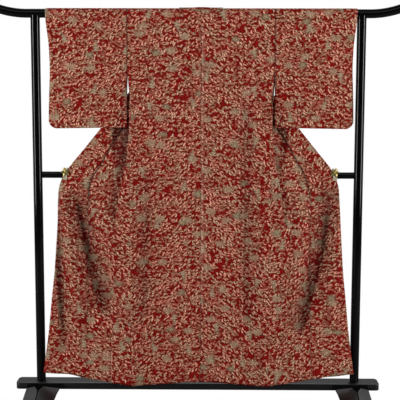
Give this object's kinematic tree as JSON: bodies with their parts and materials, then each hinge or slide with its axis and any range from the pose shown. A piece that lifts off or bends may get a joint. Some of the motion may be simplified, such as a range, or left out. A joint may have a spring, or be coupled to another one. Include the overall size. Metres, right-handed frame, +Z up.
{
  "type": "komon kimono on a kimono stand",
  "caption": "Small-patterned silk kimono hung by its sleeves on a black lacquered stand, back shown, with both fronts folded out to the sides and clipped to the stand's rail.",
  "frame": {"origin": "on the floor under the middle of the stand", "axes": "+Z up, +X to the wearer's right as the kimono hangs, -Y the side that shows the kimono's back"},
  "size_m": [1.7976, 0.4, 1.733],
  "materials": {
    "cloth": "fine crepe silk, soft sheen, small all-over print in deep red, salmon and grey-beige",
    "lacquer": "turned and planed wood under gloss black lacquer",
    "gilt": "aged gilt"
  },
  "bodies": {
    "root": {"back_left": "cloth", "back_right": "cloth", "front_left": "cloth", "front_right": "cloth", "overlap_left": "cloth", "overlap_right": "cloth", "sleeve_left": "cloth", "sleeve_right": "cloth", "clip_left": "gilt", "clip_right": "gilt", "leaf_left": "gilt", "leaf_right": "gilt", "post_left": "lacquer", "post_right": "lacquer", "foot_left": "lacquer", "foot_right": "lacquer", "collar": "cloth", "top_bar": "lacquer", "rail": "lacquer", "beam": "lacquer"}
  },
  "joints": []
}
